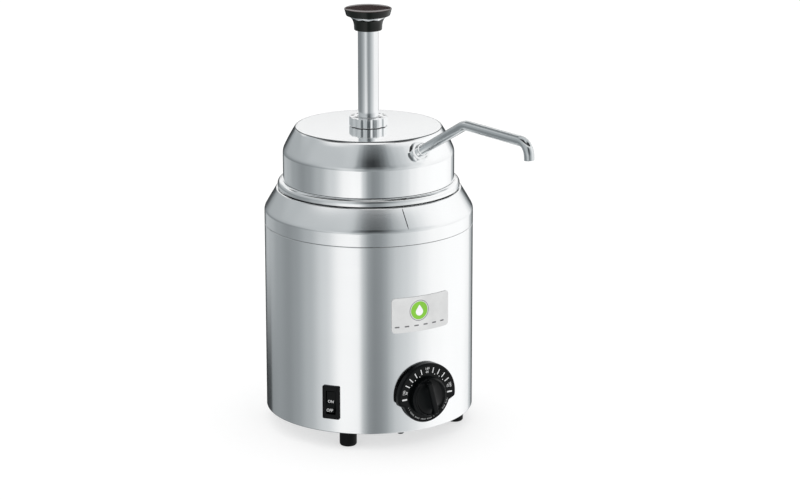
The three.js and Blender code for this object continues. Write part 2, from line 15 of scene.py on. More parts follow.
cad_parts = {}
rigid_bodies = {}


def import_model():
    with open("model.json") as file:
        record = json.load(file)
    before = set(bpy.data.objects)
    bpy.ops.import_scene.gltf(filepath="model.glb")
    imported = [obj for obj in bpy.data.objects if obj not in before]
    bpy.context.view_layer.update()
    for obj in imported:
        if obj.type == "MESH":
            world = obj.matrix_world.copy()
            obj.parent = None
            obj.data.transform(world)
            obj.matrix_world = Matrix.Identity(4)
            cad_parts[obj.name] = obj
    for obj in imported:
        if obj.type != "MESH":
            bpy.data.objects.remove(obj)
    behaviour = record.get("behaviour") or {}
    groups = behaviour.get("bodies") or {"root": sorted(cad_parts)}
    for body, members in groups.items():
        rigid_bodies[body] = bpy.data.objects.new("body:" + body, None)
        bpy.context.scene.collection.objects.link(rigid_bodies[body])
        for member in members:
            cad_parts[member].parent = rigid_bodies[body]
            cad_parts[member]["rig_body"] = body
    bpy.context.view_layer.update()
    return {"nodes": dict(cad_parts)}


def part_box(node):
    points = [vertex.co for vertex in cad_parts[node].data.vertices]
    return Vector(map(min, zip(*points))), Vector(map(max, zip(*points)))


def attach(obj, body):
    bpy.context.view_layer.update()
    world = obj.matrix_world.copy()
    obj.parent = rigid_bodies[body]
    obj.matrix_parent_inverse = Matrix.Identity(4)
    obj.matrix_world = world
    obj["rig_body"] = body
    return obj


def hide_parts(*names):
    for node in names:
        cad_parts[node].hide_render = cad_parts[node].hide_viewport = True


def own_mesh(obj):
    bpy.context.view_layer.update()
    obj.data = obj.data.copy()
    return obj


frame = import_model()
scene = bpy.context.scene

# ---------------------------------------------------------------- where things are, from the frame
MM = 0.001
shell_low, shell_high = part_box("outer_shell")
AXIS_Y = (shell_low.y + shell_high.y) / 2
BODY_R = (shell_high.x - shell_low.x) / 2 / MM
SHEET = 1.0  # stainless sheet
GAP = 0.3  # clearance between neighbouring pieces
WELD = 0.002 * MM  # points closer than this become one
COUNTER_Z = -2
SHELL_LOW_Z = shell_low.z / MM + COUNTER_Z
SEAM_Z = shell_high.z / MM + COUNTER_Z
WALL = BODY_R + GAP
DIAL_TURN = 1.35
DIAL_Z = 53.7
DIAL_FACE = 114.5
DIAL_R, DIAL_LOW_R = 34.6, 28.4  # above and below the step in its outline
SWITCH_TURN = -51
SWITCH_Z = 48.5
GLAND_Z = 40
LID_TOP_Z = 316.3
SPOUT_TURN = 3
SPOUT_RISE = 28.2
OUTLET_AT = Vector((84.1, 301.1))
STEM_R = 10.6
DOME_FOOT = (439 - COUNTER_Z) * MM  # in metres, where the knob's dark band meets its browner dome

FINE = 240  # sides of the large turned pieces, so that a column is 1.5 degrees
MEDIUM = 96
SMALL = 48
SUPPORT = 0.4  # straight length kept beside each bend, for clean shading
RIM_SOFT = 0.3  # how far a tube's rim is drawn in

AXIS = Matrix.Translation((0, AXIS_Y, -COUNTER_Z * MM)) @ Matrix.Diagonal((MM, MM, MM, 1))
SPOUT_PLANE = AXIS @ Matrix.Rotation(math.radians(SPOUT_TURN), 4, "Z")
OUTLET = (
    SPOUT_PLANE
    @ Matrix.Translation((0, -OUTLET_AT.x, OUTLET_AT.y))
    @ Matrix.Rotation(math.radians(90 - SPOUT_RISE), 4, "X")
)


def around(radius, turn):
    """The x and y of a point at that radius and turn."""
    return radius * math.sin(math.radians(turn)), -radius * math.cos(math.radians(turn))


def unit(angle):
    """A step of length 1 in the plane, anticlockwise from +X in degrees."""
    return Vector((math.cos(math.radians(angle)), math.sin(math.radians(angle))))


def at(x, y, z):
    return AXIS @ Matrix.Translation((x, y, z))


def facing(turn, height):
    """A frame with X along the wall, Y up and Z straight out, measured from the axis."""
    along, out = (*around(1, turn + 90), 0), (*around(1, turn), 0)
    basis = Matrix((along, (0, 0, 1), out)).transposed().to_4x4()
    return AXIS @ Matrix.Translation((0, 0, height)) @ basis


# ---------------------------------------------------------------- lines and outlines
def bent(points, steps=8):
    """Rounds the corners of an open line. A point is (x, y) or (x, y, bend radius)."""
    line = []
    for i, point in enumerate(points):
        here = Vector(point[:2])
        if len(point) == 2:
            line.append(here)
            continue
        before, after = Vector(points[i - 1][:2]) - here, Vector(points[i + 1][:2]) - here
        back, on = before.normalized(), after.normalized()
        half = math.acos(max(-1.0, min(1.0, back.dot(on)))) / 2
        reach = point[2] / math.tan(half)
        centre = here + (back + on).normalized() * (point[2] / math.sin(half))
        first, last = here + back * reach - centre, here + on * reach - centre
        sweep = math.atan2(first.x * last.y - first.y * last.x, first.dot(last))
        support = min(SUPPORT, point[2] / 3)
        if before.length > reach + 2 * support:
            line.append(here + back * (reach + support))
        for k in range(steps + 1):
            line.append(Matrix.Rotation(sweep * k / steps, 2) @ first + centre)
        if after.length > reach + 2 * support:
            line.append(here + on * (reach + support))
    return line


def thickened(line, thickness=SHEET):
    """Closes a line into a sheet outline: the given line is its right-hand side."""
    other = []
    for i, point in enumerate(line):
        before = (point - line[i - 1]).normalized() if i else None
        after = (line[i + 1] - point).normalized() if i + 1 < len(line) else None
        before, after = before or after, after or before
        normal = Vector((-before.y - after.y, before.x + after.x)).normalized()
        reach = thickness / normal.dot(Vector((-before.y, before.x)))
        other.append(point + normal * reach)
    return line + other[::-1]


def inset(outline, distance):
    """A closed anticlockwise outline, moved inwards."""
    moved = []
    for i, point in enumerate(outline):
        before = (point - outline[i - 1]).normalized()
        after = (outline[(i + 1) % len(outline)] - point).normalized()
        normal = Vector((-before.y - after.y, before.x + after.x)).normalized()
        moved.append(point + normal * (distance / max(0.5, normal.dot(Vector((-before.y, before.x))))))
    return moved


def polar(radius_at, count):
    """A closed outline from a radius for each angle in degrees."""
    return [unit(360 * k / count) * radius_at(360 * k / count) for k in range(count)]


def circle(radius, count):
    return polar(lambda angle: radius, count)


def ring(outline, z, inward=0.0):
    """A closed outline laid at a height, maybe moved inwards."""
    return [(*p, z) for p in (inset(outline, inward) if inward else outline)]


def rectangle(width, height, radius, steps=4):
    """A closed rounded rectangle; every one has the same number of points."""
    outline = []
    for quarter, (sx, sy) in enumerate(((1, 1), (-1, 1), (-1, -1), (1, -1))):
        centre = Vector((sx * (width / 2 - radius), sy * (height / 2 - radius)))
        for k in range(steps + 1):
            outline.append(centre + unit(90 * (quarter + k / steps)) * radius)
    return outline


def smoothstep(low, high, x):
    t = max(0.0, min(1.0, (x - low) / (high - low)))
    return t * t * (3 - 2 * t)


def line_radius(line, z):
    """The radius at that height on a line that only climbs or only falls."""
    for p, q in zip(line, line[1:]):
        if min(p.y, q.y) <= z <= max(p.y, q.y) and p.y != q.y:
            return p.x + (q.x - p.x) * (z - p.y) / (q.y - p.y)
    return line[0].x


# ---------------------------------------------------------------- shapes: (points, faces)
def loft(rings, closed=False):
    """Joins rings of equal count with quads. It closes on itself, or its two ends are capped."""
    n = len(rings[0])
    points = [Vector(p) for ring in rings for p in ring]
    spans = [(i, (i + 1) % len(rings)) for i in range(len(rings) - (0 if closed else 1))]
    faces = [
        (i * n + k, i * n + (k + 1) % n, j * n + (k + 1) % n, j * n + k) for i, j in spans for k in range(n)
    ]
    if not closed:
        faces += [tuple(range(n)), tuple((len(rings) - 1) * n + k for k in range(n))]
    return points, faces


def turned(outline, sides=MEDIUM, windows=()):
    """Turns a closed (radius, height) outline about Z. A window is (turn, half its columns, low z,
    high z), and goes through a sheet outline made by thickened(). A fifth number makes it round."""
    rings = []
    for r, z in outline:
        rings.append([(*around(r, 360 * k / sides), z) for k in range(sides)])
    points, faces = loft(rings, closed=True)
    rows = len(outline)

    def corner(row, column):
        return (row % rows) * sides + column % sides

    gone, frames = set(), []
    for turn, half, low, high, *round_radius in windows:
        outer = range(rows // 2)
        first, last = [
            min(outer, key=lambda i: abs(outline[i][1] - level) + (0 if outline[i][0] > 60 else 99))
            for level in (low, high)
        ]
        middle = round(turn * sides / 360)
        a, b = middle - half, middle + half
        for row in range(first, last):
            for column in range(a, b):
                for i in (row, rows - 2 - row):
                    gone.add(frozenset(corner(i + m, column + n) for m in (0, 1) for n in (0, 1)))
        loop = [(first, c) for c in range(a, b)] + [(r, b) for r in range(first, last)]
        loop += [(last, c) for c in range(b, a, -1)] + [(r, a) for r in range(last, first, -1)]
        for (r0, c0), (r1, c1) in zip(loop, loop[1:] + loop[:1]):
            far0, far1 = corner(rows - 1 - r0, c0), corner(rows - 1 - r1, c1)
            frames.append((corner(r0, c0), corner(r1, c1), far1, far0))
            for radius in round_radius:
                for row in (r0, rows - 1 - r0):
                    ends = (first, last) if row == r0 else (rows - 1 - first, rows - 1 - last)
                    middle_point = (outline[ends[0]] + outline[ends[1]]) / 2
                    up = outline[row] - middle_point
                    swing = 360 * c0 / sides - turn
                    across = math.radians(swing) * middle_point.x
                    share = radius / math.hypot(across, up.length)
                    z = middle_point.y + up.y * share
                    r = line_radius(outline[min(ends) : max(ends) + 1], z)
                    points[corner(row, c0)] = Vector((*around(r, turn + swing * share), z))
    return points, [f for f in faces if frozenset(f) not in gone] + frames


def sheet(line, windows=(), thickness=SHEET):
    """A turned sheet piece. The line is the right-hand side of the sheet, as in thickened()."""
    return turned(thickened(line, thickness), FINE, windows)


def swept(path, outline_at, across):
    """Rings along a path of points. outline_at(i) is the 2-D outline laid at point i."""
    rings = []
    for i, point in enumerate(path):
        ahead = (path[min(i + 1, len(path) - 1)] - path[max(i - 1, 0)]).normalized()
        side = across(point, ahead).normalized()
        up = ahead.cross(side)
        rings.append([point + side * p.x + up * p.y for p in outline_at(i)])
    return loft(rings)


def tube(path, outer, inner, sides):
    """An open tube with softened rims, along a path in the YZ plane."""

    def across(*_):
        return Vector((1, 0, 0))

    full, bore, rim = (circle(radius, sides) for radius in (outer, inner, outer - RIM_SOFT))
    start = path[0] + (path[1] - path[0]).normalized() * RIM_SOFT
    end = path[-1] + (path[-1] - path[-2]).normalized() * RIM_SOFT
    extended = [path[0], start, *path[1:], end]
    last = len(extended) - 1
    out_points, _ = swept(extended, lambda i: rim if i in (0, last) else full, across)
    in_points, _ = swept(extended, lambda i: bore, across)
    n = sides
    rings = [out_points[i * n : i * n + n] for i in range(last + 1)]
    rings += [in_points[i * n : i * n + n] for i in range(last, -1, -1)]
    return loft(rings, closed=True)


def slab(outline, low, high, hole=None):
    """An outline extruded along Z, maybe with a hole right through."""
    rings = [ring(outline, low), ring(outline, high)]
    if hole:
        rings += [ring(hole, high), ring(hole, low)]
    return loft(rings, closed=bool(hole))


def plate(columns, half_at, rows, top, bottom, put):
    """A closed plate over strips: column u spans rows t from -1 to 1 times half_at(u)."""
    points, faces = [], []
    for height in (top, bottom):
        for u in columns:
            points += [Vector(put(u, t * half_at(u), height(u, t * half_at(u)))) for t in rows]
    n, layer = len(rows), len(rows) * len(columns)
    for i in range(len(columns) - 1):
        for k in range(n - 1):
            quad = (i * n + k, (i + 1) * n + k, (i + 1) * n + k + 1, i * n + k + 1)
            faces += [quad, tuple(layer + c for c in quad[::-1])]
    edge = [i * n for i in range(len(columns))] + [(len(columns) - 1) * n + k for k in range(1, n)]
    edge += [i * n + n - 1 for i in range(len(columns) - 2, -1, -1)] + list(range(n - 2, 0, -1))
    for a, b in zip(edge, edge[1:] + edge[:1]):
        faces.append((a, b, layer + b, layer + a))
    return points, faces


def joined(*shapes):
    points, faces = [], []
    for some_points, some_faces in shapes:
        faces += [tuple(i + len(points) for i in face) for face in some_faces]
        points += some_points
    return points, faces


def moved(shape, matrix):
    return [matrix @ Vector(p) for p in shape[0]], shape[1]


def lettering(text, height, thickness):
    """Plain letters or figures in the XY plane, centred, with a little thickness."""
    curve = bpy.data.curves.new("lettering", "FONT")
    curve.body = text
    curve.align_x, curve.align_y = "CENTER", "CENTER"
    curve.size = height * 1.4
    curve.extrude = thickness / 2
    curve.resolution_u = 3
    holder = bpy.data.objects.new("lettering", curve)
    scene.collection.objects.link(holder)
    mesh = bpy.data.meshes.new_from_object(holder)
    shape = [v.co.copy() for v in mesh.vertices], [tuple(f.vertices) for f in mesh.polygons]
    bpy.data.objects.remove(holder)
    bpy.data.curves.remove(curve)
    bpy.data.meshes.remove(mesh)
    return shape


# ---------------------------------------------------------------- materials
class Graph:
    """Adds nodes to a node tree and links them."""

    def __init__(self, tree):
        self.nodes, self.links = tree.nodes, tree.links

    def put(self, node, inputs):
        """Gives each named or numbered input a value or a link."""
        for key, value in inputs.items():
            if isinstance(value, bpy.types.NodeSocket):
                self.links.new(value, node.inputs[key])
            else:
                node.inputs[key].default_value = value
        return node

    def node(self, kind, inputs=None, **settings):
        """A new node, with its settings and its inputs."""
        made = self.nodes.new(kind)
        for key, value in settings.items():
            setattr(made, key, value)
        return self.put(made, inputs or {})

    def math(self, operation, *values):
        return self.node("ShaderNodeMath", dict(enumerate(values)), operation=operation).outputs[0]

    def vector(self, operation, *values):
        return self.node("ShaderNodeVectorMath", dict(enumerate(values)), operation=operation).outputs

    def mix(self, factor, low, high):
        """A colour between two colours or sockets."""
        made = self.node("ShaderNodeMix", {0: factor}, data_type="RGBA")
        ends = [i for i, socket in enumerate(made.inputs) if socket.type == "RGBA"]
        self.put(made, dict(zip(ends, (low, high))))
        return next(socket for socket in made.outputs if socket.type == "RGBA")


class Surface(Graph):
    """A Principled material whose colour, roughness and relief come from noise."""

    def __init__(self, name, colour, roughness, metallic=0.0, specular=0.5):
        self.material = bpy.data.materials.new(name)
        self.material.use_nodes = True
        super().__init__(self.material.node_tree)
        self.shader = self.nodes["Principled BSDF"]
        self.put(self.shader, {"Base Color": (*colour, 1), "Roughness": roughness,
                               "Metallic": metallic, "Specular IOR Level": specular})
        self.colour, self.roughness = colour, roughness
        coordinates = self.node("ShaderNodeTexCoord").outputs["Object"]
        self.place = self.vector("SUBTRACT", coordinates, (0, AXIS_Y, 0))[0]

    def rings(self, around_scale, across_scale):
        """Coordinates that change fast up the wall and outwards, and slowly round the axis."""
        x, y, z = self.node("ShaderNodeSeparateXYZ", {0: self.place}).outputs
        square = self.math("ADD", self.math("MULTIPLY", x, x), self.math("MULTIPLY", y, y))
        across = self.math("SUBTRACT", z, self.math("MULTIPLY", self.math("SQRT", square), 0.8))
        scaled = [(x, around_scale), (y, around_scale), (across, across_scale)]
        parts = {i: self.math("MULTIPLY", value, scale) for i, (value, scale) in enumerate(scaled)}
        return self.node("ShaderNodeCombineXYZ", parts).outputs[0]

    def noise(self, scale=1.0, detail=3.0, vector=None):
        place = self.place if vector is None else vector
        inputs = {"Vector": place, "Scale": scale, "Detail": detail}
        return self.node("ShaderNodeTexNoise", inputs).outputs["Fac"]

    def vary_colour(self, factor, darkest, lightest):
        low, high = [(*[c * share for c in self.colour], 1) for share in (darkest, lightest)]
        self.put(self.shader, {"Base Color": self.mix(factor, low, high)})
        return self

    def vary_roughness(self, factor, spread):
        centred = self.math("MULTIPLY", self.math("SUBTRACT", factor, 0.5), 2 * spread)
        self.put(self.shader, {"Roughness": self.math("ADD", centred, self.roughness)})
        return self

    def relief(self, height, strength, distance):
        bump = self.node("ShaderNodeBump", {"Strength": strength, "Distance": distance, "Height": height})
        self.put(self.shader, {"Normal": bump.outputs["Normal"]})
        return self


def steel(name, colour, roughness, brush=0.1):
    """Stainless steel with fine brushing round the axis and faint cloudiness."""
    made = Surface(name, colour, roughness, metallic=1.0)
    lines = made.noise(detail=2, vector=made.rings(6, 2600))
    clouds = made.noise(18)
    made.vary_colour(clouds, 0.97, 1.02).vary_roughness(lines, roughness * 0.3)
    return made.relief(lines, brush, 0.00002).material


def moulded(name, colour, roughness, specular, grain=900, strength=0.05):
    """Moulded plastic or rubber with a fine skin and faint colour change."""
    made = Surface(name, colour, roughness, specular=specular)
    skin = made.noise(grain)
    made.vary_colour(made.noise(60), 0.85, 1.15).vary_roughness(skin, roughness * 0.2)
    return made.relief(skin, strength, 0.00005).material


def cast_metal(name, colour, roughness, grain=500):
    made = Surface(name, colour, roughness, metallic=1.0)
    spots = made.noise(grain)
    made.vary_colour(spots, 0.88, 1.05).vary_roughness(spots, roughness * 0.3)
    return made.relief(spots, 0.08, 0.00005).material


def knob_skin():
    """Glossy dark plastic, black on the neck and band and reddish brown on the dome."""
    made = Surface("knob_plastic", (0.0065, 0.0085, 0.007), 0.05, specular=0.25)
    height = made.node("ShaderNodeSeparateXYZ", {0: made.place}).outputs[2]
    on_top = made.math("GREATER_THAN", height, DOME_FOOT)
    made.vary_colour(made.noise(60), 0.85, 1.15)
    black = made.shader.inputs["Base Color"].links[0].from_socket
    made.put(made.shader, {"Base Color": made.mix(on_top, black, (0.026, 0.008, 0.006, 1))})
    skin = made.noise(300)
    return made.vary_roughness(skin, 0.01).relief(skin, 0.01, 0.00002).material


LOOKS = {
    "brushed_shell": steel("shell_steel", (0.93, 0.94, 0.945), 0.13, brush=0.12),
    "polished_steel": steel("lid_steel", (0.93, 0.94, 0.945), 0.08, brush=0.05),
    "tube_steel": steel("spout_steel", (0.74, 0.765, 0.775), 0.14, brush=0.06),
    "pump_steel": steel("pump_steel", (0.78, 0.79, 0.8), 0.2),
    "zinc_plate": cast_metal("zinc", (0.62, 0.63, 0.64), 0.35),
    "heater_metal": cast_metal("heater_metal", (0.5, 0.5, 0.5), 0.42),
    "brass": cast_metal("brass", (0.72, 0.55, 0.28), 0.3),
    "black_plastic": moulded("black_plastic", (0.0022, 0.0028, 0.003), 0.2, 0.14),
    "knob_plastic": knob_skin(),
    "white_plastic": moulded("white_plastic", (0.8, 0.79, 0.76), 0.5, 0.4),
    "badge": moulded("badge_plate", (0.67, 0.675, 0.675), 0.32, 0.5, grain=1500),
    "rubber": moulded("rubber", (0.0035, 0.004, 0.004), 0.55, 0.12, grain=1200, strength=0.2),
}
INK = moulded("printed_ink", (0.75, 0.76, 0.76), 0.5, 0.3)
GREY_INK = moulded("grey_ink", (0.16, 0.16, 0.17), 0.5, 0.3)
WHITE_INK = moulded("white_ink", (0.9, 0.9, 0.9), 0.45, 0.3)
GREEN_INK = moulded("green_ink", (0.22, 0.55, 0.04), 0.4, 0.4)
SMALL_INK = moulded("small_print_ink", (0.34, 0.35, 0.35), 0.5, 0.3)
SEAM_STEEL = cast_metal("seam_steel", (0.12, 0.125, 0.13), 0.35)
# a darkened steel colour that paints shade on a thin ring along the lid's top edge
PAINTED_EDGE_SHADE = cast_metal("painted_edge_shade", (0.16, 0.17, 0.175), 0.3)


# ---------------------------------------------------------------- pieces
def piece(name, shape, matrix, slot, body, look=None, sharp=33):
    """A mesh in the row frame, smooth with sharp real corners, that rides on a body."""
    mesh = bpy.data.meshes.new(name)
    mesh.from_pydata([matrix @ Vector(p) for p in shape[0]], [], shape[1])
    work = bmesh.new()
    work.from_mesh(mesh)
    bmesh.ops.remove_doubles(work, verts=work.verts, dist=WELD)
    bmesh.ops.recalc_face_normals(work, faces=work.faces)
    work.to_mesh(mesh)
    work.free()
    mesh.shade_smooth()
    mesh.set_sharp_from_angle(angle=math.radians(sharp))
    mesh.materials.append(look or LOOKS[slot])
    made = bpy.data.objects.new(name, mesh)
    scene.collection.objects.link(made)
    weighted = made.modifiers.new("weighted", "WEIGHTED_NORMAL")
    weighted.keep_sharp = True
    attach(made, body)
    return made


def stand_in(node, shape, matrix, slot, look=None, sharp=33):
    """A finer piece in place of a CAD node, on the node's own body."""
    made = piece(f"{node}_fine", shape, matrix, slot, frame["nodes"][node]["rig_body"], look, sharp)
    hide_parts(node)
    return made


# warmer: shell, collar, vessel
window_rows = [(BODY_R, z) for z in (31.5, 32.5, 48.5, 59, 64.5, 120)]
shell_line = bent(
    [(101, SHELL_LOW_Z), (BODY_R, SHELL_LOW_Z, 1.2)]
    + window_rows
    + [(BODY_R, SEAM_Z - 1), (BODY_R, SEAM_Z, 0.5), (BODY_R - 0.7, SEAM_Z)]
)[:-1]
shell_windows = [(DIAL_TURN, 2, 48.5, 59), (SWITCH_TURN, 3, 32.5, 64.5), (180, 3, 31.5, 48.5)]
stand_in("outer_shell", sheet(shell_line, shell_windows), AXIS, "brushed_shell")

PLUG_R = BODY_R - SHEET - GAP
COLLAR_KINK = Vector((BODY_R, 230.4))
COLLAR_TOP = Vector((96.2, 251.8))


def crowned(start, end, crown, share):
    """A point on a slightly bulging cone, that share of the way from start to end."""
    along = end - start
    outward = Vector((along.y, -along.x)).normalized()
    return start + along * share + outward * (crown * 4 * share * (1 - share))


def on_cone(share):
    return crowned(COLLAR_KINK, COLLAR_TOP, 0.15, share)


collar_line = bent(
    [(PLUG_R, SEAM_Z - 8), (PLUG_R, SEAM_Z + GAP), (BODY_R, SEAM_Z + GAP, 0.5), (*COLLAR_KINK, 9)]
    + [tuple(on_cone(0.2 + 0.08 * k)) for k in range(9)]
    + [(*COLLAR_TOP, 1.6), (90, COLLAR_TOP.y)]
)
stand_in("shoulder_collar", sheet(collar_line), AXIS, "brushed_shell")

RIM_R, RIM_TOP_Z, RIM_BEND = 94.7, 260.3, 4.2
rim_corner = Vector((RIM_R, RIM_TOP_Z))
vessel_line = bent([
    (RIM_R, 253.1),
    (*rim_corner, RIM_BEND),
    (84.5, RIM_TOP_Z, 2),
    (84.5, 84.5, 10),
    (0, 84.5),
])
stand_in("water_vessel", sheet(vessel_line), AXIS, "brushed_shell")


def seam(name, turns, width, points):
    """A thin welded line up the surface, tapered at both ends, between a first and a last turn."""
    rings = []
    first, last = turns
    for i, (r, z) in enumerate(points):
        share = min(i, len(points) - 1 - i) / 2
        half = math.degrees(width / 2 / r) * min(1, 0.3 + share)
        turn = first + (last - first) * i / (len(points) - 1)
        low, high = r - 0.3, r + 0.05
        sides = ((low, -half), (high, -half), (high, half), (low, half))
        rings.append([(*around(radius, turn + swing), z) for radius, swing in sides])
    return piece(name, loft(rings), AXIS, "brushed_shell", "warmer", SEAM_STEEL)


seam("collar_seam", (-8.2, -9.6), 1.0, [on_cone(0.05 + 0.9 * k / 12) for k in range(13)])
rim_centre = rim_corner - Vector((RIM_BEND, RIM_BEND))
rim_line = [rim_centre + unit(angle) * RIM_BEND for angle in (34, 44, 54, 62, 70)]
seam("rim_seam", (-7.4, -7.4), 6, rim_line)
seam("shell_seam", (180, 180), 0.5, [(BODY_R, 21 + 188 * k / 12) for k in range(13)])

# base plate, feet and fasteners
PLATE_Z = SHELL_LOW_Z + SHEET + GAP
plate_line = bent([(0, PLATE_Z), (60, PLATE_Z, 1), (62, PLATE_Z + 1.5, 1), (78, PLATE_Z + 1.5, 1),
                   (80, PLATE_Z, 1), (106.2, PLATE_Z)], 3)
plate_line = [Vector((r, max(z, PLATE_Z))) for r, z in plate_line]
stand_in("base_plate", sheet(plate_line, thickness=1.2), AXIS, "zinc_plate")

FEET = {"front_left": -44, "front_right": 53, "back_right": 136, "back_left": -127}
FOOT_R = 8.9
foot_line = bent([
    (2.5, 1), (2.5, COUNTER_Z), (FOOT_R, COUNTER_Z, 2.6), (FOOT_R, PLATE_Z - GAP),
    (2.5, PLATE_Z - GAP), (2.5, 8), (0, 8), (0, 1),
], 6)
for where, turn in FEET.items():
    x, y = around(91, turn)
    stand_in(f"foot_{where}", turned(foot_line, SMALL), at(x, y, 0), "rubber")
screw_line = bent([
    (0, -4.5), (1.7, -4.5), (1.7, GAP), (3.4, GAP), (3.2, 2.0, 0.7), (1.6, 2.6), (1.2, 1.4), (0, 1.4),
], 4)
for i, turn in enumerate((-12, 108, 228)):
    x, y = around(103.5, turn)
    upside_down = at(x, y, SHELL_LOW_Z) @ Matrix.Rotation(math.pi, 4, "X")
    stand_in(f"base_screw_{i + 1}", turned(screw_line, SMALL), upside_down, "zinc_plate", SEAM_STEEL)

# cord gland at the back
gland = facing(180, GLAND_Z)
gland_line = bent([(4.5, 100), (8, 100), (8, WALL), (13, WALL), (13, BODY_R + 3, 0.8), (4.5, BODY_R + 3, 0.5),
                   (4.5, 100)], 5)
stand_in("cord_gland", turned(gland_line, MEDIUM), gland, "black_plastic")

# badge: a thin plate wrapped on the drum, with a plain printed mark
BADGE_HALF = math.radians(17.9) * WALL
BADGE_Z = 141.5
BADGE_THICK = 0.6
PLATE_STEP = 1.2  # between its columns
SUNK = 0.05  # how far print goes into its plate
PRINT_LEVEL = 0.03  # how far it stands out


def wrapped(u, v, out):
    return (*around(WALL + out, math.degrees(u / WALL)), BADGE_Z + v)


def rounded_plate(half_width, half_height, radius, thick, edge):
    """A thin plate on the drum with a softened edge."""
    count = round(2 * (half_width - radius) / PLATE_STEP)
    ends = [half_width - radius * (1 - math.sin(math.radians(a))) for a in (15, 30, 45, 60, 75, 84, 90)]
    flat = [(half_width - radius) * (2 * k / count - 1) for k in range(count + 1)]
    columns = [-u for u in ends[::-1]] + flat + ends

    def half_at(u):
        over = max(0.0, abs(u) - (half_width - radius))
        return half_height - radius + math.sqrt(max(0.0, radius**2 - over**2))

    def top(u, v):
        to_side = half_width - abs(u)
        to_end = half_at(u) - abs(v)
        return thick - edge * (1 - smoothstep(0, 2.5 * edge, min(to_side, to_end)))

    rows = [-1, -0.99, -0.975] + [k / 6 * 0.9 for k in range(-6, 7)] + [0.975, 0.99, 1]
    return plate(columns, half_at, rows, top, lambda u, v: 0, wrapped)


stand_in("badge_plate", rounded_plate(BADGE_HALF, 18.5, 4, BADGE_THICK, 0.25), AXIS, "badge")


def printed(outline, centre, hole=None):
    """A flat printed shape on the badge."""
    points, faces = slab(outline, BADGE_THICK - SUNK, BADGE_THICK + PRINT_LEVEL, hole)
    return [Vector(wrapped(p.x + centre[0], p.y + centre[1], p.z)) for p in points], faces


def printed_strips(name, low, high, half_at, centre, level, look):
    """A printed shape that is the same on its left and right, laid on the curved plate."""
    columns = [low + (high - low) * (0.5 - 0.5 * math.cos(math.pi * k / 24)) for k in range(25)]
    rows = [k / 8 for k in range(-8, 9)]
    shape = plate(
        columns,
        half_at,
        rows,
        lambda v, u: BADGE_THICK + level,
        lambda v, u: BADGE_THICK - SUNK,
        lambda v, u, h: wrapped(u + centre[0], v + centre[1], h),
    )
    return piece(name, shape, AXIS, "badge", "warmer", look)


MARK_AT = (-4.0, 3.6)
DISC_R = 9.5
DROP_R = 4.2
DROP_SHOULDER, DROP_TOP = 1.4, 7.2


def disc_half(v):
    return math.sqrt(max(0.0, DISC_R**2 - v**2))


def drop_half(v):
    """Half width of a drop: round below, drawn in to a point above."""
    if v < DROP_SHOULDER:
        return math.sqrt(max(0.0, DROP_R**2 - v**2))
    shoulder = math.sqrt(DROP_R**2 - DROP_SHOULDER**2)
    return shoulder * max(0.0, (DROP_TOP - v) / (DROP_TOP - DROP_SHOULDER)) ** 0.85


badge_ring = printed(circle(11, 64), MARK_AT, circle(10.4, 64))
piece("badge_ring", badge_ring, AXIS, "badge", "warmer", GREY_INK)
printed_strips("badge_disc", -DISC_R, DISC_R, disc_half, MARK_AT, PRINT_LEVEL, GREEN_INK)
drop_at = (MARK_AT[0], MARK_AT[1] - 1.3)
printed_strips("badge_drop", -DROP_R, DROP_TOP, drop_half, drop_at, 0.07, WHITE_INK)
bars = [printed(rectangle(5, 1.5, 0.5), ((k - 2.5) * 10.6 - 2, -12)) for k in range(6)]
piece("badge_bars", joined(*bars), AXIS, "badge", "warmer", GREY_INK)

# thermostat: scale plate, printed scale, knob
dial = facing(DIAL_TURN, DIAL_Z)


def dial_radius(angle):
    """The plate is large above, and steps in below its two ends."""
    from_top = abs((angle - 90 + 180) % 360 - 180)
    return DIAL_R - (DIAL_R - DIAL_LOW_R) * smoothstep(97, 110, from_top)


dial_outline = polar(dial_radius, 180)
dial_rings = [ring(dial_outline, WALL), ring(dial_outline, DIAL_FACE - 1.6)]
for down, inward in ((1.1, 0.12), (0.6, 0.45), (0.25, 0.9), (0.05, 1.4), (0, 1.8), (0.35, 2.2), (0.4, 2.6)):
    dial_rings.append(ring(dial_outline, DIAL_FACE - down, inward))
bore = circle(4.5, 180)
dial_rings += [ring(bore, DIAL_FACE - 0.4), ring(bore, WALL)]
stand_in("dial_plate", loft(dial_rings, closed=True), dial, "black_plastic")

INK_LOW, INK_HIGH = DIAL_FACE - 0.45, DIAL_FACE - 0.32
SCALE_R = 27.3


def printed_box(angle, r, length, width):
    """A printed dash at that radius, its length along the radius."""
    shape = slab(rectangle(length, width, width * 0.2, 1), INK_LOW, INK_HIGH)
    spot = Matrix.Translation((*unit(angle) * r, 0))
    return moved(shape, spot @ Matrix.Rotation(math.radians(angle), 4, "Z"))


def printed_text(text, angle, r, height):
    """Figures that stand along the radius."""
    spot = Matrix.Translation((*unit(angle) * r, (INK_LOW + INK_HIGH) / 2))
    upright = Matrix.Rotation(math.radians(angle - 90), 4, "Z")
    return moved(lettering(text, height, INK_HIGH - INK_LOW), spot @ upright)


